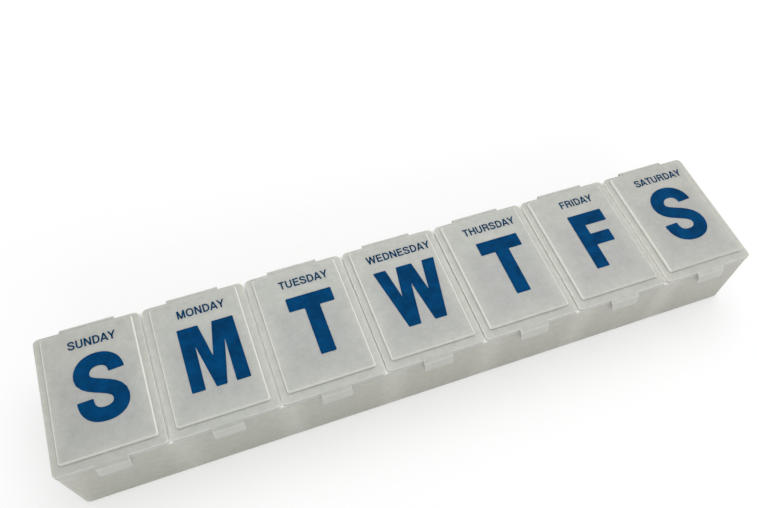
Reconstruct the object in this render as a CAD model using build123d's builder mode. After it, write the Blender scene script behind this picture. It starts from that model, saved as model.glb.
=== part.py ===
from build123d import *
import os

# A week-long row of seven compartments in one plastic tray. Every compartment has its own
# lid, joined to the tray's back rim by a thin web of plastic that folds.
# Lengths are in millimetres. The front, with the latch tabs, faces -Y. Sunday is at -X.
# The origin is the middle of the tray's underside.

# Tray
day_names = ["sunday", "monday", "tuesday", "wednesday", "thursday", "friday", "saturday"]
compartment_pitch = 30.0
tray_length = compartment_pitch * len(day_names)
tray_depth = 42.4
tray_height = 22.7
wall_thickness = 1.2
divider_thickness = 1.0
floor_thickness = 1.2
wall_draft = 1.0
divider_draft = 0.3
tray_corner_radius = 2.0
base_edge_radius = 1.0
compartment_corner_radius = 1.5
compartment_floor_radius = 0.8

# Lid
lid_gap = 0.7
lid_width = compartment_pitch - lid_gap
flange_thickness = 1.2
flange_front_corner_radius = 1.0
flange_back_corner_radius = 1.6
panel_side_inset = 2.3
panel_front_inset = 2.6
panel_back_inset = 0.95
panel_step = 0.9
panel_bevel = 0.35
panel_corner_radius = 0.8
panel_thickness = 1.0
plug_clearance = 0.45
plug_thickness = 0.9
plug_drop = 2.5
plug_inner_corner_radius = 1.0

# Latch tab at the front of each lid
tab_width = 8.6
tab_thickness = 0.8
tab_wall_gap = 0.45
tab_top_slope = 0.3
tab_drop = 2.4
tab_lean = 0.6
tab_corner_radius = 0.7

# Living hinge at the back of each lid
hinge_width = 15.0
hinge_land_reach = 0.7
hinge_land_gap = 0.3
hinge_land_thickness = 0.85
web_thickness = 0.35
web_fold_radius = 0.65
web_fold_angle = 180

# Places that several pieces share
front_face = -tray_depth / 2
back_face = tray_depth / 2
hinge_face = back_face + hinge_land_reach
flange_top = tray_height + flange_thickness
panel_top = flange_top + panel_step
plug_inset = wall_thickness + plug_clearance
compartment_centres = [
    (number - (len(day_names) - 1) / 2) * compartment_pitch for number in range(len(day_names))
]


def draft_left(height, full_draft):
    """How far a leaning wall still stands inside its rim line at a height."""
    return full_draft * (1 - height / tray_height)


def compartment_outline(number, height):
    """The west and east sides and the half depth of a compartment at a height."""
    centre = compartment_centres[number]
    divider_side = divider_thickness / 2 + draft_left(height, divider_draft)
    end_side = wall_thickness + draft_left(height, wall_draft)
    west_side = end_side if number == 0 else divider_side
    east_side = end_side if number == len(day_names) - 1 else divider_side
    west = centre - compartment_pitch / 2 + west_side
    east = centre + compartment_pitch / 2 - east_side
    half_depth = back_face - end_side
    return west, east, half_depth


def compartment_space(number):
    """The hollow of one compartment, from the tray's floor to its rim."""
    with BuildPart() as space:
        for height in (floor_thickness, tray_height):
            west, east, half_depth = compartment_outline(number, height)
            with BuildSketch(Plane.XY.offset(height)):
                with Locations(((west + east) / 2, 0)):
                    RectangleRounded(east - west, 2 * half_depth, compartment_corner_radius)
        loft()
        fillet(space.faces().sort_by(Axis.Z)[0].edges(), compartment_floor_radius)
    return space.part


compartment_spaces = [compartment_space(number) for number in range(len(day_names))]

with BuildPart() as tray:
    for height in (0, tray_height):
        inset = draft_left(height, wall_draft)
        with BuildSketch(Plane.XY.offset(height)):
            RectangleRounded(tray_length - 2 * inset, tray_depth - 2 * inset, tray_corner_radius)
    loft()
    fillet(tray.faces().sort_by(Axis.Z)[0].edges(), base_edge_radius)
    for space in compartment_spaces:
        add(space, mode=Mode.SUBTRACT)
    # Ledges on the back rim that the hinge webs grow from
    for centre in compartment_centres:
        with BuildSketch(Plane.YZ.offset(centre)):
            with Locations((back_face - wall_thickness / 2, tray_height - hinge_land_gap / 2)):
                Rectangle(
                    wall_thickness / 2 + hinge_land_reach,
                    hinge_land_thickness,
                    align=(Align.MIN, Align.MAX),
                )
        extrude(amount=hinge_width / 2, both=True)
tray.part.label = "tray"


def lid_body(centre):
    """One closed lid over the compartment whose middle is at centre."""
    with BuildPart() as lid:
        # Flange that rests on the rim, with rounder corners at the back
        with BuildSketch(Plane.XY.offset(tray_height)) as flange:
            with Locations((centre, 0)):
                Rectangle(lid_width, tray_depth)
            fillet(flange.vertices().group_by(Axis.Y)[0], flange_front_corner_radius)
            fillet(flange.vertices().group_by(Axis.Y)[-1], flange_back_corner_radius)
        extrude(amount=flange_thickness)

        # Raised panel, nearly as deep as the flange
        panel_width = compartment_pitch - 2 * panel_side_inset
        panel_depth = tray_depth - panel_front_inset - panel_back_inset
        with BuildSketch(Plane.XY.offset(flange_top)):
            with Locations((centre, (panel_front_inset - panel_back_inset) / 2)):
                RectangleRounded(panel_width, panel_depth, panel_corner_radius)
        extrude(amount=panel_step)
        chamfer(lid.faces().sort_by(Axis.Z)[-1].edges(), panel_bevel)

        # Hollow under the panel
        hollow_front = front_face + panel_front_inset + panel_thickness
        hollow_back = back_face - plug_inset - plug_thickness
        with BuildSketch(Plane.XY.offset(tray_height)):
            with Locations((centre, (hollow_front + hollow_back) / 2)):
                RectangleRounded(
                    panel_width - 2 * panel_thickness,
                    hollow_back - hollow_front,
                    panel_corner_radius,
                )
        extrude(amount=panel_top - panel_thickness - tray_height, mode=Mode.SUBTRACT)

        # Plug rim that reaches into the compartment
        plug_width = compartment_pitch - 2 * plug_inset
        plug_depth = tray_depth - 2 * plug_inset
        with BuildSketch(Plane.XY.offset(tray_height)):
            with Locations((centre, 0)):
                RectangleRounded(plug_width, plug_depth, compartment_corner_radius)
                RectangleRounded(
                    plug_width - 2 * plug_thickness,
                    plug_depth - 2 * plug_thickness,
                    plug_inner_corner_radius,
                    mode=Mode.SUBTRACT,
                )
        extrude(amount=-plug_drop)

        # Latch tab that hangs in front of the tray
        tab_inner = front_face - tab_wall_gap
        tab_outer = tab_inner - tab_thickness
        with BuildSketch(Plane.YZ.offset(centre)):
            with BuildLine():
                Polyline(
                    (front_face + tab_thickness, flange_top),
                    (front_face, flange_top),
                    (tab_outer, flange_top - tab_top_slope),
                    (tab_outer - tab_lean, tray_height - tab_drop),
                    (tab_inner - tab_lean, tray_height - tab_drop),
                    (tab_inner, tray_height),
                    (front_face + tab_thickness, tray_height),
                    close=True,
                )
            make_face()
        extrude(amount=tab_width / 2, both=True)
        fillet(lid.edges().filter_by(Axis.Y).group_by(Axis.Y)[0], tab_corner_radius)

        # Ledge at the back edge that the hinge web grows from
        with BuildSketch(Plane.YZ.offset(centre)):
            with Locations((back_face - wall_thickness, tray_height + hinge_land_gap / 2)):
                Rectangle(
                    wall_thickness + hinge_land_reach,
                    hinge_land_thickness,
                    align=(Align.MIN, Align.MIN),
                )
        extrude(amount=hinge_width / 2, both=True)
    return lid.part


def hinge_web(centre):
    """The web that is folded over from the lid's ledge to the tray's ledge."""
    fold_axis = Axis((centre, hinge_face, tray_height), (-1, 0, 0))
    with BuildPart() as web:
        with BuildSketch(Plane.XZ.offset(-hinge_face)):
            with Locations((centre, tray_height + web_fold_radius)):
                Rectangle(hinge_width, web_thickness)
        revolve(axis=fold_axis, revolution_arc=web_fold_angle)
    return web.part


pieces = [tray.part]
for day, centre in zip(day_names, compartment_centres):
    lid_part = lid_body(centre)
    lid_part.label = f"{day}_lid"
    web_part = hinge_web(centre)
    web_part.label = f"{day}_hinge"
    pieces += [lid_part, web_part]

os.makedirs("parts", exist_ok=True)
for piece in pieces:
    export_step(piece, f"parts/{piece.label}.step")
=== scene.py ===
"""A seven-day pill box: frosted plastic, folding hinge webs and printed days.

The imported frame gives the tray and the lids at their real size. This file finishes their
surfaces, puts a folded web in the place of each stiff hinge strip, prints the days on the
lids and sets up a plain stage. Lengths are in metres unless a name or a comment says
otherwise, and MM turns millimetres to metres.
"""

import math

import bmesh
import bpy
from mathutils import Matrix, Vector
from mathutils.geometry import delaunay_2d_cdt, interpolate_bezier


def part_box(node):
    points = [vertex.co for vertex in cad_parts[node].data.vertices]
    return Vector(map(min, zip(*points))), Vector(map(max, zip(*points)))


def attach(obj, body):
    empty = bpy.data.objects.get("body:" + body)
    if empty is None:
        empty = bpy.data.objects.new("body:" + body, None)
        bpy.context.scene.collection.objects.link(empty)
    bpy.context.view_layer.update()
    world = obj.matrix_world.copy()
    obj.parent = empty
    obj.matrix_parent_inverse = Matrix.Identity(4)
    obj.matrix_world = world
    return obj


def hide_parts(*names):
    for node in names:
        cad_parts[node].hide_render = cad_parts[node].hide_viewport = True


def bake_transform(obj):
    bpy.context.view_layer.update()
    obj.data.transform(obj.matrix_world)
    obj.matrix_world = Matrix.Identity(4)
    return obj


bl_info = {
    "name": "Weekly pill box",
    "version": (1, 0, 0),
    "blender": (4, 5, 0),
    "location": "3D View > Sidebar > Pill box",
    "description": "Finishes a seven-day pill box and sets up its stage",
    "category": "Add Mesh",
}

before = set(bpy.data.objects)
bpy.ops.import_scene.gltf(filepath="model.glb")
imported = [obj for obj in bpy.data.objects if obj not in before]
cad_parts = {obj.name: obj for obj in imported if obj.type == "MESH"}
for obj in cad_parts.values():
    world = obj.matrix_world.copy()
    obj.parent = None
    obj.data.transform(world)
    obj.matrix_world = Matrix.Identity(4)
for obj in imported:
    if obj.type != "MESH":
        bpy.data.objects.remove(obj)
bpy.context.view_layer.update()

MM = 0.001
DAYS = ["sunday", "monday", "tuesday", "wednesday", "thursday", "friday", "saturday"]
MIDDLE_DAY = len(DAYS) // 2
TRAY_LOW, TRAY_HIGH = (Vector(corner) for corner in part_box("tray"))
COMPARTMENT_PITCH = (TRAY_HIGH.x - TRAY_LOW.x) / len(DAYS)


def linear(hex_colour):
    """A written sRGB colour, such as #BEBCB6, as the linear values that a shader takes."""
    values = [int(hex_colour[i : i + 2], 16) / 255 for i in (1, 3, 5)]
    values = [v / 12.92 if v <= 0.04045 else ((v + 0.055) / 1.055) ** 2.4 for v in values]
    return (*values, 1.0)


# Sizes and colours that a user would change


class PlasticSettings(bpy.types.PropertyGroup):
    """Colours and finish of the moulded plastic."""

    tray_colour: bpy.props.FloatVectorProperty(
        name="Tray colour",
        description="Colour of the tray's walls where they look darkest",
        subtype="COLOR",
        size=4,
        min=0.0,
        max=1.0,
        default=linear("#C2C2B5"),
    )
    lid_colour: bpy.props.FloatVectorProperty(
        name="Lid colour",
        description="Colour of a lid over the middle of its compartment",
        subtype="COLOR",
        size=4,
        min=0.0,
        max=1.0,
        default=linear("#B3B4B1"),
    )
    # Painted light: the tray's walls are painted towards this colour near the dividers and towards
    # the rim
    painted_light_wall_colour: bpy.props.FloatVectorProperty(
        name="Light wall colour",
        description="Colour of the tray's walls where they look lightest",
        subtype="COLOR",
        size=4,
        min=0.0,
        max=1.0,
        default=linear("#E0E0D6"),
    )
    # Painted light: the lids are painted towards this colour where the tray's walls lie under them,
    # and the webs take it as their own colour
    painted_light_colour: bpy.props.FloatVectorProperty(
        name="Backed colour",
        description="Colour of the lids and webs where more plastic lies behind",
        subtype="COLOR",
        size=4,
        min=0.0,
        max=1.0,
        default=linear("#C6C7BF"),
    )
    # Painted light: thin edges, the tray's rim and its hollows are painted towards this light
    # colour
    painted_glow_colour: bpy.props.FloatVectorProperty(
        name="Edge colour",
        description="Colour of the thin edges, where light leaves the plastic",
        subtype="COLOR",
        size=4,
        min=0.0,
        max=1.0,
        default=linear("#F2F2EC"),
    )
    clouding: bpy.props.FloatProperty(
        name="Clouding",
        description="How much darker the plastic is where it cooled last",
        subtype="FACTOR",
        min=0.0,
        max=1.0,
        default=0.12,
    )
    roughness: bpy.props.FloatProperty(
        name="Roughness",
        description="Roughness that the blasted tool leaves on the plastic",
        subtype="FACTOR",
        min=0.0,
        max=1.0,
        default=0.26,
    )
    scatter_depth: bpy.props.FloatProperty(
        name="Scatter depth",
        description="How far light spreads inside the milky plastic",
        subtype="DISTANCE",
        unit="LENGTH",
        min=0.0,
        default=1.3 * MM,
    )
    edge_radius: bpy.props.FloatProperty(
        name="Edge radius",
        description="Rounding of the moulded edges",
        subtype="DISTANCE",
        unit="LENGTH",
        min=0.0,
        default=0.15 * MM,
    )


class WebSettings(bpy.types.PropertyGroup):
    """Sizes and colour of the folding webs."""

    thickness: bpy.props.FloatProperty(
        name="Web thickness",
        description="Thickness of a web where it leaves the tray and the lid",
        subtype="DISTANCE",
        unit="LENGTH",
        min=0.0,
        default=0.35 * MM,
    )
    crease_thickness: bpy.props.FloatProperty(
        name="Crease thickness",
        description="Thickness of a web in the middle of its fold",
        subtype="DISTANCE",
        unit="LENGTH",
        min=0.0,
        default=0.24 * MM,
    )
    root: bpy.props.FloatProperty(
        name="Root",
        description="How deep a web's ends run into the tray and the lid",
        subtype="DISTANCE",
        unit="LENGTH",
        min=0.0,
        default=0.15 * MM,
    )
    crease_colour: bpy.props.FloatVectorProperty(
        name="Crease colour",
        description="Colour of the plastic that the fold has whitened",
        subtype="COLOR",
        size=4,
        min=0.0,
        max=1.0,
        default=linear("#E6E5E0"),
    )


class PrintSettings(bpy.types.PropertyGroup):
    """Sizes, places and inks of the printed days."""

    initial_height: bpy.props.FloatProperty(
        name="Initial height",
        description="Height of a flat-topped initial",
        subtype="DISTANCE",
        unit="LENGTH",
        min=0.0,
        default=20.7 * MM,
    )
    initial_middle: bpy.props.FloatProperty(
        name="Initial place",
        description="Place of the initials' middle, front to back",
        subtype="DISTANCE",
        unit="LENGTH",
        default=0.1 * MM,
    )
    name_height: bpy.props.FloatProperty(
        name="Name height",
        description="Height of the letters of a day's name",
        subtype="DISTANCE",
        unit="LENGTH",
        min=0.0,
        default=2.7 * MM,
    )
    name_baseline: bpy.props.FloatProperty(
        name="Name place",
        description="Place of the names' baseline, front to back",
        subtype="DISTANCE",
        unit="LENGTH",
        default=14.06 * MM,
    )
    pitch: bpy.props.FloatProperty(
        name="Print pitch",
        description="Distance from one printed day to the next",
        subtype="DISTANCE",
        unit="LENGTH",
        min=0.0,
        default=30.28 * MM,
    )
    shift: bpy.props.FloatProperty(
        name="Print shift",
        description="How far right of the middle lid's middle the print sits",
        subtype="DISTANCE",
        unit="LENGTH",
        default=1.7 * MM,
    )
    film: bpy.props.FloatProperty(
        name="Ink film",
        description="How far the ink stands proud of the lid",
        subtype="DISTANCE",
        unit="LENGTH",
        min=0.0,
        default=0.02 * MM,
    )
    initial_ink: bpy.props.FloatVectorProperty(
        name="Initial ink",
        description="Colour of the initials",
        subtype="COLOR",
        size=4,
        min=0.0,
        max=1.0,
        default=linear("#004373"),
    )
    name_ink: bpy.props.FloatVectorProperty(
        name="Name ink",
        description="Colour of the names",
        subtype="COLOR",
        size=4,
        min=0.0,
        max=1.0,
        default=linear("#0A4062"),
    )


class StageSettings(bpy.types.PropertyGroup):
    """Light level and background of the stage."""

    sky_strength: bpy.props.FloatProperty(
        name="Sky strength",
        description="Strength of the even light from all round",
        min=0.0,
        default=0.66,
    )
    key_power: bpy.props.FloatProperty(
        name="Key power",
        description="Power of the large soft lamp above and behind",
        subtype="POWER",
        unit="POWER",
        min=0.0,
        default=4.2,
    )
    fill_power: bpy.props.FloatProperty(
        name="Fill power",
        description="Power of the low soft lamp in front",
        subtype="POWER",
        unit="POWER",
        min=0.0,
        default=1.9,
    )
    floor_colour: bpy.props.FloatVectorProperty(
        name="Floor colour",
        description="Colour of the floor as the camera sees it",
        subtype="COLOR",
        size=4,
        min=0.0,
        max=1.0,
        default=(1.0, 1.0, 1.0, 1.0),
    )
    shadow_lift: bpy.props.FloatProperty(
        name="Shadow lift",
        description="How far the shadow on the floor is lightened",
        subtype="FACTOR",
        min=0.0,
        max=1.0,
        default=0.5,
    )


# Materials


def add_node(tree, kind, inputs=None, **settings):
    """A node of one kind, with its settings, its input values and the links into it."""
    node = tree.nodes.new(kind)
    for key, value in settings.items():
        setattr(node, key, value)
    for key, value in (inputs or {}).items():
        if isinstance(value, bpy.types.NodeSocket):
            tree.links.new(value, node.inputs[key])
        else:
            node.inputs[key].default_value = value
    return node


def empty_material(name):
    """A material whose node tree is still empty."""
    material = bpy.data.materials.new(name)
    material.use_nodes = True
    material.node_tree.nodes.clear()
    return material


def per_metre(millimetres):
    """The texture scale at which one feature is this many millimetres across."""
    return 1 / (millimetres * MM)


def darker(colour, share):
    """A colour with a share of its light taken away."""
    return (*[value * (1 - share) for value in colour[:3]], 1.0)


FLOW_CLOUD_MM = 2.6
TINT_PATCH_MM = 55.0
SINK_WAVE_MM = 9.0
SINK_WAVE_DEPTH = 0.4 * MM
TOOL_GRAIN_MM = 0.8
TOOL_GRAIN_DEPTH = 0.05 * MM
POLYPROPYLENE_IOR = 1.49
# Red light spreads a little further inside the plastic than blue
SCATTER_BY_COLOUR = (1.0, 0.98, 0.9)
COOL_TINT = (0.965, 1.0, 0.985, 1.0)
WARM_TINT = (1.0, 0.97, 0.965, 1.0)


# Most of a noise texture's values lie between these two
NOISE_LOW = 0.36
NOISE_HIGH = 0.64


def clouded(tree, place, colour, plastic):
    """A colour with the clouds and the tints that the plastic gets as it flows and cools."""
    clouds = add_node(
        tree,
        "ShaderNodeTexNoise",
        {"Vector": place, "Scale": per_metre(FLOW_CLOUD_MM), "Detail": 5.0, "Roughness": 0.8},
    )
    density = add_node(
        tree,
        "ShaderNodeMapRange",
        {"Value": clouds.outputs["Fac"], "From Min": NOISE_LOW, "From Max": NOISE_HIGH},
    )
    dim = 1 - plastic.clouding
    shade = add_node(
        tree,
        "ShaderNodeMix",
        {"Factor": density.outputs["Result"], "A": (1.0, 1.0, 1.0, 1.0), "B": (dim, dim, dim, 1.0)},
        data_type="RGBA",
    )
    patches = add_node(
        tree,
        "ShaderNodeTexNoise",
        {"Vector": place, "Scale": per_metre(TINT_PATCH_MM), "Detail": 1.0},
    )
    tint = add_node(
        tree,
        "ShaderNodeMix",
        {"Factor": patches.outputs["Fac"], "A": COOL_TINT, "B": WARM_TINT},
        data_type="RGBA",
    )
    tinted = add_node(
        tree,
        "ShaderNodeMix",
        {"Factor": 1.0, "A": colour, "B": tint.outputs["Result"]},
        data_type="RGBA",
        blend_type="MULTIPLY",
    )
    result = add_node(
        tree,
        "ShaderNodeMix",
        {"Factor": 1.0, "A": tinted.outputs["Result"], "B": shade.outputs["Result"]},
        data_type="RGBA",
        blend_type="MULTIPLY",
    )
    return result.outputs["Result"]


def moulded_normal(tree, place):
    """The relief of the moulded surface: shallow sink waves under the grain of the tool."""
    waves = add_node(
        tree,
        "ShaderNodeTexNoise",
        {"Vector": place, "Scale": per_metre(SINK_WAVE_MM), "Detail": 1.0},
    )
    wavy = add_node(
        tree,
        "ShaderNodeBump",
        {"Height": waves.outputs["Fac"], "Strength": 0.25, "Distance": SINK_WAVE_DEPTH},
    )
    # The grain of a blasted tool is too fine to show here, so it is drawn coarser
    grain = add_node(
        tree,
        "ShaderNodeTexNoise",
        {"Vector": place, "Scale": per_metre(TOOL_GRAIN_MM), "Detail": 2.0},
    )
    grainy = add_node(
        tree,
        "ShaderNodeBump",
        {
            "Height": grain.outputs["Fac"],
            "Normal": wavy.outputs["Normal"],
            "Strength": 0.2,
            "Distance": TOOL_GRAIN_DEPTH,
        },
    )
    return grainy.outputs["Normal"]


# Painted light on the lids: where it starts and where it is full at the sides and at the ends, and
# where, front to back, the lids are painted darkest
LID_SIDE_LIGHT_STARTS = 8.0 * MM
LID_SIDE_LIGHT_FULL = 15.0 * MM
LID_DARKEST_Y = -4.0 * MM
LID_END_LIGHT_STARTS = 8.0 * MM
LID_END_LIGHT_FULL = 14.0 * MM
LID_END_LIGHT = 0.5


def lid_painted_light(tree, axes):
    """How much painted light a lid gets where the tray's walls back it.

    It is 0 over the middle of a compartment, 1 at its side walls and LID_END_LIGHT at its ends.
    """
    aside = add_node(
        tree,
        "ShaderNodeMath",
        {0: axes.outputs["X"], 1: COMPARTMENT_PITCH / 2},
        operation="PINGPONG",
    )
    at_sides = add_node(
        tree,
        "ShaderNodeMapRange",
        {
            "Value": aside.outputs["Value"],
            "From Min": LID_SIDE_LIGHT_STARTS,
            "From Max": LID_SIDE_LIGHT_FULL,
        },
    )
    from_darkest = add_node(
        tree,
        "ShaderNodeMath",
        {0: axes.outputs["Y"], 1: LID_DARKEST_Y},
        operation="SUBTRACT",
    )
    along = add_node(
        tree,
        "ShaderNodeMath",
        {0: from_darkest.outputs["Value"]},
        operation="ABSOLUTE",
    )
    at_ends = add_node(
        tree,
        "ShaderNodeMapRange",
        {
            "Value": along.outputs["Value"],
            "From Min": LID_END_LIGHT_STARTS,
            "From Max": LID_END_LIGHT_FULL,
            "To Max": LID_END_LIGHT,
        },
    )
    painted_light_share = add_node(
        tree,
        "ShaderNodeMath",
        {0: at_sides.outputs["Result"], 1: at_ends.outputs["Result"]},
        operation="MAXIMUM",
    )
    return painted_light_share.outputs["Value"]


# Painted light: the light that a divider would let into the wall is painted a little to the right
# of the divider, and the walls are painted lighter towards the rim
DIVIDER_GLOW_SHIFT = 2.0 * MM
DIVIDER_GLOW_REACH = 6.5 * MM
DIVIDER_GLOW = 0.45
UPPER_WALL_GLOW = 0.55


def tray_painted_light(tree, axes):
    """How much painted light the tray's walls get: more where a divider backs them and nearer to
    the rim.
    """
    from_glow = add_node(
        tree,
        "ShaderNodeMath",
        {0: axes.outputs["X"], 1: COMPARTMENT_PITCH / 2 - DIVIDER_GLOW_SHIFT},
        operation="ADD",
    )
    beside = add_node(
        tree,
        "ShaderNodeMath",
        {0: from_glow.outputs["Value"], 1: COMPARTMENT_PITCH / 2},
        operation="PINGPONG",
    )
    painted_light_share = add_node(
        tree,
        "ShaderNodeMapRange",
        {
            "Value": beside.outputs["Value"],
            "From Min": DIVIDER_GLOW_REACH,
            "From Max": 0.0,
            "To Max": DIVIDER_GLOW,
        },
        interpolation_type="SMOOTHSTEP",
    )
    height = add_node(
        tree,
        "ShaderNodeMapRange",
        {"Value": axes.outputs["Z"], "From Max": TRAY_HIGH.z, "To Max": UPPER_WALL_GLOW},
    )
    lightness = add_node(
        tree,
        "ShaderNodeMath",
        {0: painted_light_share.outputs["Result"], 1: height.outputs["Result"]},
        operation="ADD",
    )
    return lightness.outputs["Value"]


LID_TOP = Vector(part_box("sunday_lid")[1]).z
# Painted glow on the lids' edges, where light would leave the plastic
OPEN_EDGE_GLOW = 0.45
# How level a face is, by the Z of its normal, where its painted glow starts and where it is full
GLOW_STARTS_LEVEL = 0.9
GLOW_FULL_LEVEL = 0.5


def lid_painted_glow(tree, axes):
    """How much painted glow a lid's edges get.

    All of it goes on the sides above the tray's rim, and some on the other upright faces.
    """
    facing = add_node(
        tree,
        "ShaderNodeSeparateXYZ",
        {"Vector": add_node(tree, "ShaderNodeTexCoord").outputs["Normal"]},
    )
    level = add_node(tree, "ShaderNodeMath", {0: facing.outputs["Z"]}, operation="ABSOLUTE")
    upright = add_node(
        tree,
        "ShaderNodeMapRange",
        {
            "Value": level.outputs["Value"],
            "From Min": GLOW_STARTS_LEVEL,
            "From Max": GLOW_FULL_LEVEL,
            "To Max": OPEN_EDGE_GLOW,
        },
    )
    sideways = add_node(tree, "ShaderNodeMath", {0: facing.outputs["X"]}, operation="ABSOLUTE")
    above_rim = add_node(
        tree,
        "ShaderNodeMath",
        {
            0: axes.outputs["Z"],
            1: (TRAY_HIGH.z + LID_TOP) / 2,
            2: (LID_TOP - TRAY_HIGH.z) / 2,
        },
        operation="COMPARE",
    )
    at_side = add_node(
        tree,
        "ShaderNodeMath",
        {0: sideways.outputs["Value"], 1: above_rim.outputs["Value"]},
        operation="MULTIPLY",
    )
    painted_edge_glow = add_node(
        tree,
        "ShaderNodeMath",
        {0: upright.outputs["Result"], 1: at_side.outputs["Value"]},
        operation="MAXIMUM",
    )
    return painted_edge_glow.outputs["Value"]


# Painted glow on the tray's rim, and painted light inside its compartments
RIM_GLOW_DEPTH = 0.6 * MM
HOLLOW_GLOW = 0.5
# How deep in a wall or the floor its middle lies, and how far a wall leans out over its height
WALL_MIDDLE = 0.6 * MM
WALL_LEAN = 1.0 * MM


def inside_wall(tree, distance, height, half_width):
    """1 where a point lies further in than the middle of the leaning wall, else 0."""
    from_wall = add_node(
        tree,
        "ShaderNodeMath",
        {0: height, 1: -WALL_LEAN / TRAY_HIGH.z, 2: distance},
        operation="MULTIPLY_ADD",
    )
    inside = add_node(
        tree,
        "ShaderNodeMath",
        {0: from_wall.outputs["Value"], 1: half_width - WALL_MIDDLE - WALL_LEAN},
        operation="LESS_THAN",
    )
    return inside.outputs["Value"]


def tray_painted_glow(tree, axes):
    """Painted glow on the tray: all of it on the rim, and some inside the compartments.

    The thin walls let light into the compartments, so their insides are painted lighter than a
    solid's hollows.
    """
    height = axes.outputs["Z"]
    rim = TRAY_HIGH.z
    on_rim = add_node(
        tree,
        "ShaderNodeMapRange",
        {"Value": height, "From Min": rim - RIM_GLOW_DEPTH, "From Max": rim},
    )
    aside = add_node(tree, "ShaderNodeMath", {0: axes.outputs["X"]}, operation="ABSOLUTE")
    along = add_node(tree, "ShaderNodeMath", {0: axes.outputs["Y"]}, operation="ABSOLUTE")
    above_floor = add_node(
        tree,
        "ShaderNodeMath",
        {0: height, 1: WALL_MIDDLE},
        operation="GREATER_THAN",
    )
    in_row = add_node(
        tree,
        "ShaderNodeMath",
        {
            0: inside_wall(tree, aside.outputs["Value"], height, TRAY_HIGH.x),
            1: inside_wall(tree, along.outputs["Value"], height, -TRAY_LOW.y),
        },
        operation="MULTIPLY",
    )
    in_hollow = add_node(
        tree,
        "ShaderNodeMath",
        {0: in_row.outputs["Value"], 1: above_floor.outputs["Value"]},
        operation="MULTIPLY",
    )
    hollow = add_node(
        tree,
        "ShaderNodeMath",
        {0: in_hollow.outputs["Value"], 1: HOLLOW_GLOW},
        operation="MULTIPLY",
    )
    glow = add_node(
        tree,
        "ShaderNodeMath",
        {0: on_rim.outputs["Result"], 1: hollow.outputs["Value"]},
        operation="MAXIMUM",
    )
    return glow.outputs["Value"]


def frosted_polypropylene(name, colour, painted_light_colour, painted_light_of, painted_glow_of, plastic):
    """Natural polypropylene, injection moulded in a blasted tool.

    It is milky: light spreads inside it and leaks through thin walls. Painted light makes a wall
    that solid plastic backs lighter than one over a hollow, and a painted glow lightens thin
    edges. The blasted tool leaves a soft sheen.
    """
    material = empty_material(name)
    tree = material.node_tree
    place = add_node(tree, "ShaderNodeTexCoord").outputs["Object"]
    axes = add_node(tree, "ShaderNodeSeparateXYZ", {"Vector": place})
    painted_light_mix = add_node(
        tree,
        "ShaderNodeMix",
        {"Factor": painted_light_of(tree, axes), "A": colour, "B": painted_light_colour},
        data_type="RGBA",
    )
    with_painted_glow = add_node(
        tree,
        "ShaderNodeMix",
        {
            "Factor": painted_glow_of(tree, axes),
            "A": clouded(tree, place, painted_light_mix.outputs["Result"], plastic),
            "B": plastic.painted_glow_colour,
        },
        data_type="RGBA",
    )
    shader = add_node(
        tree,
        "ShaderNodeBsdfPrincipled",
        {
            "Base Color": with_painted_glow.outputs["Result"],
            "Roughness": plastic.roughness,
            "IOR": POLYPROPYLENE_IOR,
            "Subsurface Weight": 1.0,
            "Subsurface Radius": SCATTER_BY_COLOUR,
            "Subsurface Scale": plastic.scatter_depth,
            "Normal": moulded_normal(tree, place),
        },
    )
    add_node(tree, "ShaderNodeOutputMaterial", {"Surface": shader.outputs["BSDF"]})
    return material


WEB_ROUGHNESS = 0.34
WEB_SCATTER_DEPTH = 0.5 * MM


def flexed_polypropylene(name, colour, crease_colour, plastic):
    """The same polypropylene, flexed: folding whitens it along the crease."""
    material = empty_material(name)
    tree = material.node_tree
    place = add_node(tree, "ShaderNodeTexCoord").outputs["Object"]
    flex = add_node(tree, "ShaderNodeAttribute", attribute_name="flex")
    whitened = add_node(
        tree,
        "ShaderNodeMix",
        {
            "Factor": flex.outputs["Fac"],
            "A": clouded(tree, place, colour, plastic),
            "B": crease_colour,
        },
        data_type="RGBA",
    )
    shader = add_node(
        tree,
        "ShaderNodeBsdfPrincipled",
        {
            "Base Color": whitened.outputs["Result"],
            "Roughness": WEB_ROUGHNESS,
            "IOR": POLYPROPYLENE_IOR,
            "Subsurface Weight": 1.0,
            "Subsurface Radius": SCATTER_BY_COLOUR,
            "Subsurface Scale": WEB_SCATTER_DEPTH,
            "Normal": moulded_normal(tree, place),
        },
    )
    add_node(tree, "ShaderNodeOutputMaterial", {"Surface": shader.outputs["BSDF"]})
    return material


INK_MOTTLE_MM = 5.0
INK_SPECK_MM = 0.35
INK_SPECK_DEPTH = 0.02 * MM
DENSE_INK_DARKENING = 0.4


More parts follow.
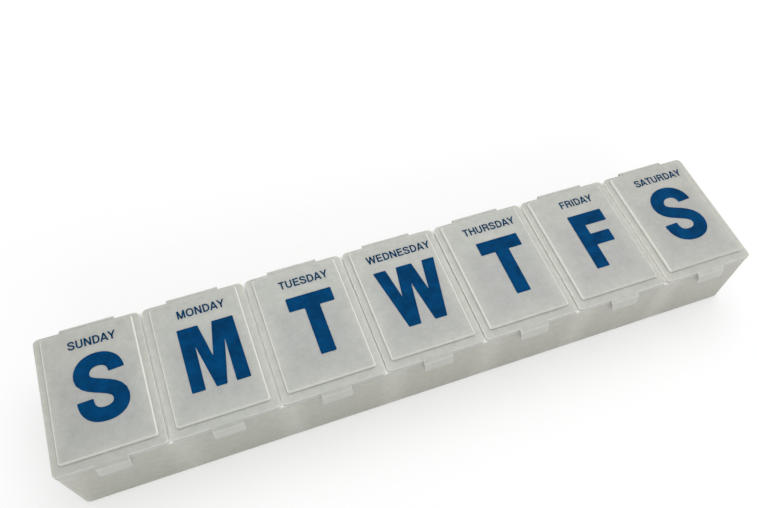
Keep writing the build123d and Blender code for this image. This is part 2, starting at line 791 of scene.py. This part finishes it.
def printed_ink(name, colour):
    """Pad-printed ink: a dense matt film, a little darker where the pad left more of it."""
    material = empty_material(name)
    tree = material.node_tree
    place = add_node(tree, "ShaderNodeTexCoord").outputs["Object"]
    film = add_node(
        tree,
        "ShaderNodeTexNoise",
        {"Vector": place, "Scale": per_metre(INK_MOTTLE_MM), "Detail": 5.0, "Roughness": 0.65},
    )
    density = add_node(
        tree,
        "ShaderNodeMapRange",
        {"Value": film.outputs["Fac"], "From Min": NOISE_LOW, "From Max": NOISE_HIGH},
    )
    shade = add_node(
        tree,
        "ShaderNodeMix",
        {
            "Factor": density.outputs["Result"],
            "A": colour,
            "B": darker(colour, DENSE_INK_DARKENING),
        },
        data_type="RGBA",
    )
    specks = add_node(
        tree,
        "ShaderNodeTexNoise",
        {"Vector": place, "Scale": per_metre(INK_SPECK_MM), "Detail": 1.0},
    )
    bump = add_node(
        tree,
        "ShaderNodeBump",
        {"Height": specks.outputs["Fac"], "Strength": 0.3, "Distance": INK_SPECK_DEPTH},
    )
    shader = add_node(
        tree,
        "ShaderNodeBsdfPrincipled",
        {
            "Base Color": shade.outputs["Result"],
            "Roughness": 0.6,
            "IOR": 1.5,
            "Specular IOR Level": 0.03,
            "Normal": bump.outputs["Normal"],
        },
    )
    add_node(tree, "ShaderNodeOutputMaterial", {"Surface": shader.outputs["BSDF"]})
    return material


# Meshes


def add_object(name, mesh, material):
    """An object for a mesh, with its material, in the scene."""
    piece = bpy.data.objects.new(name, mesh)
    mesh.materials.append(material)
    bpy.context.scene.collection.objects.link(piece)
    return piece


# Moulded faces that lie on each other are never quite flat, so a thin film of air parts them
AIR_FILM = 0.02 * MM
# Points of the frame's mesh that lie nearer than this are one point
SAME_CORNER = 0.002 * MM
SHARP_EDGE_DEGREES = 30


def finish_moulding(piece, material, edge_radius):
    """A moulded piece of the frame, with its plastic and with rounded edges."""
    piece.data.materials.clear()
    piece.data.materials.append(material)
    weld = piece.modifiers.new("weld", "WELD")
    weld.merge_threshold = SAME_CORNER
    shrink = piece.modifiers.new("air_film", "DISPLACE")
    shrink.mid_level = 0.0
    shrink.strength = -AIR_FILM
    round_edges(piece, edge_radius)


def round_edges(piece, radius):
    """A rounding of the piece's sharp edges."""
    bevel = piece.modifiers.new("rounded_edges", "BEVEL")
    bevel.width = radius
    bevel.segments = 2
    bevel.limit_method = "ANGLE"
    bevel.angle_limit = math.radians(SHARP_EDGE_DEGREES)
    bevel.harden_normals = True


FOLD_STEPS = 24
WEB_EDGE_RADIUS = 0.05 * MM


def web_mesh(name, low, high, web):
    """A strip folded through half a turn inside the box of the stiff hinge strip."""
    outer_radius = (high.z - low.z) / 2
    fold_height = (high.z + low.z) / 2
    fold_angles = [math.pi * (step / FOLD_STEPS - 0.5) for step in range(FOLD_STEPS + 1)]
    section = []
    for angle in fold_angles:
        flex = math.cos(angle) ** 2
        thickness = web.thickness + (web.crease_thickness - web.thickness) * flex
        section.append((angle, 0.0, thickness, flex))
    first, last = section[0], section[-1]
    section = [(first[0], web.root, *first[2:]), *section, (last[0], web.root, *last[2:])]

    mesh = bmesh.new()
    flex_layer = mesh.verts.layers.float.new("flex")
    rings = []
    for angle, root, thickness, flex in section:
        ring = []
        for side, radius in (
            (low.x, outer_radius),
            (high.x, outer_radius),
            (high.x, outer_radius - thickness),
            (low.x, outer_radius - thickness),
        ):
            y = low.y - root + radius * math.cos(angle)
            z = fold_height + radius * math.sin(angle)
            vertex = mesh.verts.new((side, y, z))
            vertex[flex_layer] = flex
            ring.append(vertex)
        rings.append(ring)
    for ring, following in zip(rings, rings[1:]):
        for corner in range(len(ring)):
            after = (corner + 1) % len(ring)
            mesh.faces.new((ring[corner], ring[after], following[after], following[corner]))
    mesh.faces.new(rings[0])
    mesh.faces.new(rings[-1])
    bmesh.ops.recalc_face_normals(mesh, faces=mesh.faces)
    for face in mesh.faces:
        face.smooth = True
    data = bpy.data.meshes.new(name)
    mesh.to_mesh(data)
    mesh.free()
    return data


# Letters. An outline is a list of points, counter-clockwise, in millimetres, with its lower left
# corner at 0, 0. A stroke is a straight line of two points or a chain of curves of 3n + 1 points.

INITIAL_CAP = 20.7
INITIAL_OUTLINES = {
    "M": [
        (0, 0), (3.7, 0), (3.9, 14.0), (6.7, 0), (9.6, 0), (12.2, 14.0), (12.2, 0), (16.2, 0),
        (16.0, INITIAL_CAP), (9.9, INITIAL_CAP), (7.9, 9.7), (5.9, INITIAL_CAP), (0, INITIAL_CAP),
    ],
    "T": [
        (4.55, 0), (9.05, 0), (9.05, 16.0), (13.6, 16.0), (13.6, INITIAL_CAP), (0, INITIAL_CAP),
        (0, 16.0), (4.55, 16.0),
    ],
    "W": [
        (3.8, 0), (7.5, 0), (9.65, 14.0), (11.8, 0), (15.5, 0), (19.3, INITIAL_CAP),
        (15.4, INITIAL_CAP), (13.8, 10.4), (12.1, INITIAL_CAP), (7.2, INITIAL_CAP), (5.5, 10.4),
        (3.9, INITIAL_CAP), (0, INITIAL_CAP),
    ],
    "F": [
        (0, 0), (4.2, 0), (4.2, 8.2), (10.5, 8.2), (10.5, 12.6), (4.2, 12.6), (4.2, 16.1),
        (11.6, 16.1), (11.6, INITIAL_CAP), (0, INITIAL_CAP),
    ],
}
S_CENTRELINE = [
    (11.4, 14.75), (11.4, 17.65), (9.4, 19.3), (6.8, 19.3), (4.1, 19.3), (2.15, 17.45),
    (2.15, 14.85), (2.15, 10.3), (11.45, 11.3), (11.45, 6.15), (11.45, 3.55), (9.4, 2.1),
    (6.9, 2.1), (3.6, 2.1), (2.1, 4.1), (2.1, 7.4),
]
S_STROKE = 4.3
CORNER_CUT = 0.25
CURVE_STEPS = 10


def centreline(stroke):
    """The points along a stroke's middle."""
    points = [Vector(point) for point in stroke]
    if len(points) == 2:
        return points
    line = points[:1]
    for start in range(0, len(points) - 1, 3):
        knots = [point.to_3d() for point in points[start : start + 4]]
        curve = interpolate_bezier(*knots, CURVE_STEPS + 1)
        line += [point.to_2d() for point in curve[1:]]
    return line


def stroke_outline(stroke, width):
    """The outline of a stroke of even width with square ends."""
    line = centreline(stroke)
    left, right = [], []
    for number, point in enumerate(line):
        before = line[max(number - 1, 0)]
        after = line[min(number + 1, len(line) - 1)]
        along = (after - before).normalized()
        aside = Vector((-along.y, along.x)) * width / 2
        left.append(point + aside)
        right.append(point - aside)
    return right + left[::-1]


# The small letters, on a cap height of 1: how far each moves the pen on, and its strokes.
# The middle of a level stroke lies at TOP or FOOT, and a round one reaches OVERSHOOT further.
# Slanted strokes run on to OVER and UNDER. All are cut off level, LETTER_CUT outside the cap
# line and the baseline.

NAME_STROKE = 0.172
TOP = 1 - NAME_STROKE / 2
FOOT = NAME_STROKE / 2
OVERSHOOT = 0.01
ROUND_TOP = TOP + OVERSHOOT
ROUND_FOOT = FOOT - OVERSHOOT
OVER = 1.15
UNDER = -0.15
LETTER_CUT = 0.012
SMALL_LETTERS = {
    "A": (0.78, [
        [(0.02, UNDER), (0.433, OVER)], [(0.76, UNDER), (0.347, OVER)],
        [(0.18, 0.28), (0.60, 0.28)],
    ]),
    "D": (0.84, [
        [(0.17, 0), (0.17, 1)],
        [
            (0.17, TOP), (0.27, TOP), (0.29, TOP), (0.36, TOP), (0.60, TOP), (0.70, 0.75),
            (0.70, 0.5), (0.70, 0.25), (0.60, FOOT), (0.36, FOOT), (0.29, FOOT),
            (0.27, FOOT), (0.17, FOOT),
        ],
    ]),
    "E": (0.78, [
        [(0.17, 0), (0.17, 1)], [(0.17, TOP), (0.71, TOP)], [(0.17, 0.52), (0.67, 0.52)],
        [(0.17, FOOT), (0.73, FOOT)],
    ]),
    "F": (0.71, [
        [(0.17, 0), (0.17, 1)], [(0.17, TOP), (0.67, TOP)], [(0.17, 0.49), (0.61, 0.49)],
    ]),
    "H": (0.84, [
        [(0.16, 0), (0.16, 1)], [(0.69, 0), (0.69, 1)], [(0.16, 0.53), (0.69, 0.53)],
    ]),
    "I": (0.32, [[(0.16, 0), (0.16, 1)]]),
    "M": (0.97, [
        [(0.15, 0), (0.15, 1)], [(0.82, 0), (0.82, 1)], [(0.123, OVER), (0.522, UNDER)],
        [(0.847, OVER), (0.448, UNDER)],
    ]),
    "N": (0.84, [
        [(0.15, 0), (0.15, 1)], [(0.69, 0), (0.69, 1)], [(0.075, OVER), (0.765, UNDER)],
    ]),
    "O": (0.91, [
        [
            (0.50, ROUND_TOP), (0.49, ROUND_TOP), (0.47, ROUND_TOP), (0.455, ROUND_TOP),
            (0.25, ROUND_TOP), (0.13, 0.76), (0.13, 0.5), (0.13, 0.24), (0.25, ROUND_FOOT),
            (0.455, ROUND_FOOT), (0.47, ROUND_FOOT), (0.49, ROUND_FOOT), (0.50, ROUND_FOOT),
        ],
        [
            (0.455, ROUND_FOOT), (0.66, ROUND_FOOT), (0.78, 0.24), (0.78, 0.5),
            (0.78, 0.76), (0.66, ROUND_TOP), (0.455, ROUND_TOP),
        ],
    ]),
    "R": (0.84, [
        [(0.17, 0), (0.17, 1)],
        [
            (0.17, TOP), (0.3, TOP), (0.4, TOP), (0.46, TOP), (0.61, TOP), (0.68, 0.85),
            (0.68, 0.72), (0.68, 0.57), (0.60, 0.50), (0.44, 0.50), (0.36, 0.50),
            (0.3, 0.50), (0.17, 0.50),
        ],
        [
            (0.47, 0.50), (0.60, 0.50), (0.66, 0.43), (0.66, 0.30), (0.66, 0.16), (0.66, 0.10),
            (0.70, 0.0),
        ],
    ]),
    "S": (0.78, [
        [
            (0.65, 0.70), (0.64, 0.86), (0.54, ROUND_TOP), (0.39, ROUND_TOP),
            (0.22, ROUND_TOP), (0.135, 0.84), (0.135, 0.73),
            (0.135, 0.48), (0.655, 0.58), (0.655, 0.29),
            (0.655, 0.14), (0.54, ROUND_FOOT), (0.39, ROUND_FOOT),
            (0.21, ROUND_FOOT), (0.12, 0.16), (0.115, 0.32),
        ],
    ]),
    "T": (0.71, [[(0.03, TOP), (0.68, TOP)], [(0.355, 0), (0.355, TOP)]]),
    "U": (0.84, [
        [
            (0.16, 1), (0.16, 0.8), (0.16, 0.6), (0.16, 0.40), (0.16, 0.17),
            (0.26, ROUND_FOOT), (0.42, ROUND_FOOT), (0.58, ROUND_FOOT),
            (0.68, 0.17), (0.68, 0.40), (0.68, 0.6), (0.68, 0.8), (0.68, 1),
        ],
    ]),
    "W": (1.10, [
        [(0.055, OVER), (0.345, UNDER)], [(0.255, UNDER), (0.59, OVER)],
        [(0.51, OVER), (0.845, UNDER)], [(0.755, UNDER), (1.045, OVER)],
    ]),
    "Y": (0.78, [
        [(0.39, 0), (0.39, 0.45)], [(0.015, OVER), (0.44, 0.34)], [(0.765, OVER), (0.34, 0.34)],
    ]),
}


# A corner that bends less than this is part of a curve
CURVE_BEND_DEGREES = 25


def rounded_corners(outline, cut):
    """An outline whose sharp corners are turned to short curves, as spread ink leaves them."""
    points = [Vector(point) for point in outline]
    soft = []
    for number, corner in enumerate(points):
        back = points[number - 1] - corner
        forward = points[(number + 1) % len(points)] - corner
        if back.angle(-forward) < math.radians(CURVE_BEND_DEGREES):
            soft.append(corner)
            continue
        start = corner + back.normalized() * cut
        end = corner + forward.normalized() * cut
        soft += [start, (start + 2 * corner + end) / 4, end]
    return soft


BAND_MARGIN = 1
TRIANGLES_INSIDE = 1
SAME_POINT = 1e-5


def merged(outlines, low, high):
    """The area of overlapping outlines between two level lines, as points and triangles."""
    left = min(point.x for outline in outlines for point in outline) - BAND_MARGIN
    right = max(point.x for outline in outlines for point in outline) + BAND_MARGIN
    band = [Vector(corner) for corner in ((left, low), (right, low), (right, high), (left, high))]
    points, faces = [], []
    for outline in [band, *outlines]:
        faces.append(list(range(len(points), len(points) + len(outline))))
        points += outline
    cut_up = delaunay_2d_cdt(points, [], faces, TRIANGLES_INSIDE, SAME_POINT)
    points, _, triangles, _, _, sources = cut_up
    # A triangle's sources are the faces that it lies in, and face 0 is the band
    kept = [
        triangle
        for triangle, lies_in in zip(triangles, sources)
        if 0 in lies_in and len(lies_in) > 1
    ]
    return points, kept


# How far the film reaches down into the lid, as a share of how far it stands proud
INK_ROOT = 0.5
FLAT_DEGREES = 0.1


def ink_mesh(name, shapes, top, film):
    """A thin closed film of ink in the shape of the given areas, in metres, on a level face."""
    foot = top - film * INK_ROOT
    mesh = bmesh.new()
    for points, triangles in shapes:
        used = {index for triangle in triangles for index in triangle}
        vertices = {index: mesh.verts.new((*points[index], foot)) for index in used}
        for triangle in triangles:
            mesh.faces.new([vertices[index] for index in triangle])
    bmesh.ops.dissolve_limit(
        mesh, angle_limit=math.radians(FLAT_DEGREES), verts=mesh.verts, edges=mesh.edges
    )
    raised = bmesh.ops.extrude_face_region(mesh, geom=mesh.faces[:])
    lifted = [part for part in raised["geom"] if isinstance(part, bmesh.types.BMVert)]
    bmesh.ops.translate(mesh, verts=lifted, vec=(0, 0, film * (1 + INK_ROOT)))
    bmesh.ops.recalc_face_normals(mesh, faces=mesh.faces)
    data = bpy.data.meshes.new(name)
    mesh.to_mesh(data)
    mesh.free()
    return data


def placed(points, scale, x, y):
    """Points of a letter, scaled and moved to their place on the lid."""
    return [Vector((x + point.x * scale, y + point.y * scale)) for point in points]


def initial_shape(letter, height, middle_x, middle_y):
    """The area of one large initial round its middle."""
    if letter == "S":
        outline = stroke_outline(S_CENTRELINE, S_STROKE)
    else:
        outline = [Vector(point) for point in INITIAL_OUTLINES[letter]]
    outline = rounded_corners(outline, CORNER_CUT)
    twice_middle = max(point.x for point in outline) + min(point.x for point in outline)
    # The level lines are well clear of the letter, so they cut nothing off
    points, triangles = merged([outline], -INITIAL_CAP, 2 * INITIAL_CAP)
    scale = height / INITIAL_CAP
    start_x = middle_x - scale * twice_middle / 2
    return placed(points, scale, start_x, middle_y - height / 2), triangles


def name_shapes(word, height, middle_x, baseline):
    """The areas of a day's name in small letters, round its middle."""
    pen = middle_x - height * sum(SMALL_LETTERS[letter][0] for letter in word) / 2
    shapes = []
    for letter in word:
        advance, strokes = SMALL_LETTERS[letter]
        outlines = [stroke_outline(stroke, NAME_STROKE) for stroke in strokes]
        points, triangles = merged(outlines, -LETTER_CUT, 1 + LETTER_CUT)
        shapes.append((placed(points, height, pen, baseline), triangles))
        pen += advance * height
    return shapes


# How far each initial and each name is printed to the right of its place in the row
PRINT_OFFSETS_MM = {
    "sunday": (0.3, 0.0),
    "monday": (0.35, 0.2),
    "tuesday": (0.3, 0.4),
    "wednesday": (-0.2, 0.0),
    "thursday": (0.0, -0.2),
    "friday": (0.15, 0.0),
    "saturday": (-1.1, 0.0),
}


# Operators


class PILLBOX_OT_finish_tray(bpy.types.Operator):
    """Give the tray its frosted plastic and rounded edges"""

    bl_idname = "pillbox.finish_tray"
    bl_label = "Finish tray"

    def execute(self, context):
        plastic = context.scene.pillbox_plastic
        material = frosted_polypropylene(
            "tray_frosted_polypropylene",
            plastic.tray_colour,
            plastic.painted_light_wall_colour,
            tray_painted_light,
            tray_painted_glow,
            plastic,
        )
        finish_moulding(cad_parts["tray"], material, plastic.edge_radius)
        return {"FINISHED"}


class PILLBOX_OT_finish_lids(bpy.types.Operator):
    """Give the seven lids their frosted plastic and rounded edges"""

    bl_idname = "pillbox.finish_lids"
    bl_label = "Finish lids"

    def execute(self, context):
        plastic = context.scene.pillbox_plastic
        material = frosted_polypropylene(
            "lid_frosted_polypropylene",
            plastic.lid_colour,
            plastic.painted_light_colour,
            lid_painted_light,
            lid_painted_glow,
            plastic,
        )
        for day in DAYS:
            finish_moulding(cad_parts[f"{day}_lid"], material, plastic.edge_radius)
        return {"FINISHED"}


class PILLBOX_OT_fold_webs(bpy.types.Operator):
    """Put a folded web between the tray and each lid"""

    bl_idname = "pillbox.fold_webs"
    bl_label = "Fold hinge webs"

    def execute(self, context):
        plastic = context.scene.pillbox_plastic
        web = context.scene.pillbox_web
        # The webs take the lids' painted light colour as their own colour
        material = flexed_polypropylene(
            "web_flexed_polypropylene", plastic.painted_light_colour, web.crease_colour, plastic
        )
        for day in DAYS:
            low, high = (Vector(corner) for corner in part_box(f"{day}_hinge"))
            piece = add_object(f"{day}_web", web_mesh(f"{day}_web", low, high, web), material)
            round_edges(piece, WEB_EDGE_RADIUS)
            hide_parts(f"{day}_hinge")
            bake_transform(piece)
        return {"FINISHED"}


class PILLBOX_OT_print_days(bpy.types.Operator):
    """Print each day's initial and name on its lid"""

    bl_idname = "pillbox.print_days"
    bl_label = "Print days"

    def execute(self, context):
        prints = context.scene.pillbox_print
        initial_ink = printed_ink("initial_printed_ink", prints.initial_ink)
        name_ink = printed_ink("name_printed_ink", prints.name_ink)
        for number, day in enumerate(DAYS):
            top = Vector(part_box(f"{day}_lid")[1]).z
            middle_x = prints.shift + (number - MIDDLE_DAY) * prints.pitch
            initial_offset, name_offset = PRINT_OFFSETS_MM[day]
            initial_x = middle_x + initial_offset * MM
            name_x = middle_x + name_offset * MM
            initial = initial_shape(
                day[0].upper(), prints.initial_height, initial_x, prints.initial_middle
            )
            names = name_shapes(day.upper(), prints.name_height, name_x, prints.name_baseline)
            for label, shapes, ink in (
                ("initial", [initial], initial_ink),
                ("name", names, name_ink),
            ):
                name = f"{day}_{label}"
                piece = add_object(name, ink_mesh(name, shapes, top, prints.film), ink)
                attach(piece, f"{day}_lid")
        return {"FINISHED"}


# The photograph's camera, from a fit to the box's corners and gaps

PHOTO_WIDTH_PX = 757
PHOTO_HEIGHT_PX = 508
FOCAL_LENGTH_PX = 762.46
OPTICAL_AXIS_PX = (410.48, 319.08)
CAMERA_PLACE_MM = (-49.863, -112.014, 211.615)
CAMERA_TURN_DEGREES = (31.36, -2.02, -20.85)
SENSOR_WIDTH_MM = 36.0

NEAREST_SEEN = 5 * MM

STAGE_HALF_WIDTH = 3.0
LAMP_TARGET = Vector((0.0, 0.0, 0.0))
KEY_LAMP_PLACE = (0.3, 0.3, 0.9)
KEY_LAMP_SIZE = (1.2, 0.7)
FILL_LAMP_PLACE = (0.0, -0.9, 0.45)
FILL_LAMP_SIZE = (0.9, 0.3)


class PILLBOX_OT_set_stage(bpy.types.Operator):
    """Add the floor, the soft lamps, the even sky and the camera"""

    bl_idname = "pillbox.set_stage"
    bl_label = "Set stage"

    def execute(self, context):
        stage = context.scene.pillbox_stage
        add_floor(stage)
        add_sky(context.scene, stage)
        add_lamp(context.scene, "key_lamp", KEY_LAMP_PLACE, KEY_LAMP_SIZE, stage.key_power)
        add_lamp(context.scene, "fill_lamp", FILL_LAMP_PLACE, FILL_LAMP_SIZE, stage.fill_power)
        add_camera(context.scene)
        context.scene.view_settings.view_transform = "Standard"
        return {"FINISHED"}


def seen_by_eye(tree):
    """1 for rays that reach the eye straight, by a mirror or through glass, and 0 for others."""
    path = add_node(tree, "ShaderNodeLightPath")
    straight_or_mirrored = add_node(
        tree,
        "ShaderNodeMath",
        {0: path.outputs["Is Camera Ray"], 1: path.outputs["Is Glossy Ray"]},
        operation="ADD",
    )
    seen = add_node(
        tree,
        "ShaderNodeMath",
        {0: straight_or_mirrored.outputs["Value"], 1: path.outputs["Is Transmission Ray"]},
        operation="ADD",
        use_clamp=True,
    )
    return seen.outputs["Value"]


# The colour with which the floor lights the box, and how far from the box its shadow fades
FLOOR_BOUNCE = (0.35, 0.35, 0.35, 1.0)
SHADOW_REACH = 0.2
PLAIN_WHITE_FROM = 0.6


def add_floor(stage):
    """A plain pale floor that keeps the box's shadow and is plain white further out."""
    mesh = bpy.data.meshes.new("floor")
    reach = STAGE_HALF_WIDTH
    corners = [(-reach, -reach, 0), (reach, -reach, 0), (reach, reach, 0), (-reach, reach, 0)]
    mesh.from_pydata(corners, [], [(0, 1, 2, 3)])
    material = empty_material("matt_white_paint")
    tree = material.node_tree
    seen = seen_by_eye(tree)
    colour = add_node(
        tree,
        "ShaderNodeMix",
        {"Factor": seen, "A": FLOOR_BOUNCE, "B": stage.floor_colour},
        data_type="RGBA",
    )
    paint = add_node(tree, "ShaderNodeBsdfDiffuse", {"Color": colour.outputs["Result"]})
    place = add_node(tree, "ShaderNodeTexCoord").outputs["Object"]
    away = add_node(tree, "ShaderNodeVectorMath", {0: place}, operation="LENGTH")
    plainness = add_node(
        tree,
        "ShaderNodeMapRange",
        {
            "Value": away.outputs["Value"],
            "From Min": SHADOW_REACH,
            "From Max": PLAIN_WHITE_FROM,
            "To Min": stage.shadow_lift,
            "To Max": 1.0,
        },
        interpolation_type="SMOOTHSTEP",
    )
    lift = add_node(
        tree,
        "ShaderNodeMath",
        {0: seen, 1: plainness.outputs["Result"]},
        operation="MULTIPLY",
    )
    glow = add_node(tree, "ShaderNodeEmission", {"Color": stage.floor_colour, "Strength": 1.0})
    surface = add_node(
        tree,
        "ShaderNodeMixShader",
        {"Fac": lift.outputs["Value"], 1: paint.outputs["BSDF"], 2: glow.outputs["Emission"]},
    )
    add_node(tree, "ShaderNodeOutputMaterial", {"Surface": surface.outputs["Shader"]})
    add_object("floor", mesh, material)


def add_sky(scene, stage):
    """Even white light from all round, seen as plain white."""
    world = bpy.data.worlds.new("even_sky")
    world.use_nodes = True
    tree = world.node_tree
    tree.nodes.clear()
    strength = add_node(
        tree,
        "ShaderNodeMix",
        {"Factor": seen_by_eye(tree), "A": stage.sky_strength, "B": 1.0},
        data_type="FLOAT",
    )
    sky = add_node(
        tree,
        "ShaderNodeBackground",
        {"Color": (1.0, 1.0, 1.0, 1.0), "Strength": strength.outputs["Result"]},
    )
    add_node(tree, "ShaderNodeOutputWorld", {"Surface": sky.outputs["Background"]})
    scene.world = world


def add_lamp(scene, name, place, size, power):
    """A soft rectangular lamp that faces the box."""
    lamp = bpy.data.lights.new(name, "AREA")
    lamp.shape = "RECTANGLE"
    lamp.size, lamp.size_y = size
    lamp.energy = power
    holder = bpy.data.objects.new(name, lamp)
    holder.location = place
    aim = LAMP_TARGET - Vector(place)
    holder.rotation_euler = aim.to_track_quat("-Z", "Y").to_euler()
    scene.collection.objects.link(holder)


def add_camera(scene):
    """The camera at the photograph's place and angle."""
    lens = bpy.data.cameras.new("camera")
    lens.sensor_width = SENSOR_WIDTH_MM
    lens.lens = SENSOR_WIDTH_MM * FOCAL_LENGTH_PX / PHOTO_WIDTH_PX
    lens.shift_x = (PHOTO_WIDTH_PX / 2 - OPTICAL_AXIS_PX[0]) / PHOTO_WIDTH_PX
    lens.shift_y = (OPTICAL_AXIS_PX[1] - PHOTO_HEIGHT_PX / 2) / PHOTO_WIDTH_PX
    lens.clip_start = NEAREST_SEEN
    camera = bpy.data.objects.new("camera", lens)
    camera.location = Vector(CAMERA_PLACE_MM) * MM
    camera.rotation_euler = [math.radians(turn) for turn in CAMERA_TURN_DEGREES]
    scene.collection.objects.link(camera)
    scene.camera = camera


class PILLBOX_PT_sidebar(bpy.types.Panel):
    """The pill box's steps, in order"""

    bl_label = "Weekly pill box"
    bl_idname = "PILLBOX_PT_sidebar"
    bl_space_type = "VIEW_3D"
    bl_region_type = "UI"
    bl_category = "Pill box"

    def draw(self, context):
        for settings, operators in (
            (
                context.scene.pillbox_plastic,
                (PILLBOX_OT_finish_tray, PILLBOX_OT_finish_lids),
            ),
            (context.scene.pillbox_web, (PILLBOX_OT_fold_webs,)),
            (context.scene.pillbox_print, (PILLBOX_OT_print_days,)),
            (context.scene.pillbox_stage, (PILLBOX_OT_set_stage,)),
        ):
            box = self.layout.box()
            for name in settings.__annotations__:
                box.prop(settings, name)
            for operator in operators:
                box.operator(operator.bl_idname)


CLASSES = (
    PlasticSettings,
    WebSettings,
    PrintSettings,
    StageSettings,
    PILLBOX_OT_finish_tray,
    PILLBOX_OT_finish_lids,
    PILLBOX_OT_fold_webs,
    PILLBOX_OT_print_days,
    PILLBOX_OT_set_stage,
    PILLBOX_PT_sidebar,
)
SETTINGS = {
    "pillbox_plastic": PlasticSettings,
    "pillbox_web": WebSettings,
    "pillbox_print": PrintSettings,
    "pillbox_stage": StageSettings,
}


def register():
    """Register the classes and hang their settings on the scene."""
    for kind in CLASSES:
        bpy.utils.register_class(kind)
    for name, kind in SETTINGS.items():
        setattr(bpy.types.Scene, name, bpy.props.PointerProperty(type=kind))


def unregister():
    """Take the settings and the classes away again."""
    for name in SETTINGS:
        delattr(bpy.types.Scene, name)
    for kind in reversed(CLASSES):
        bpy.utils.unregister_class(kind)


def main():
    """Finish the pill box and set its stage."""
    register()
    bpy.ops.pillbox.finish_tray()
    bpy.ops.pillbox.finish_lids()
    bpy.ops.pillbox.fold_webs()
    bpy.ops.pillbox.print_days()
    bpy.ops.pillbox.set_stage()


if __name__ == "__main__":
    main()
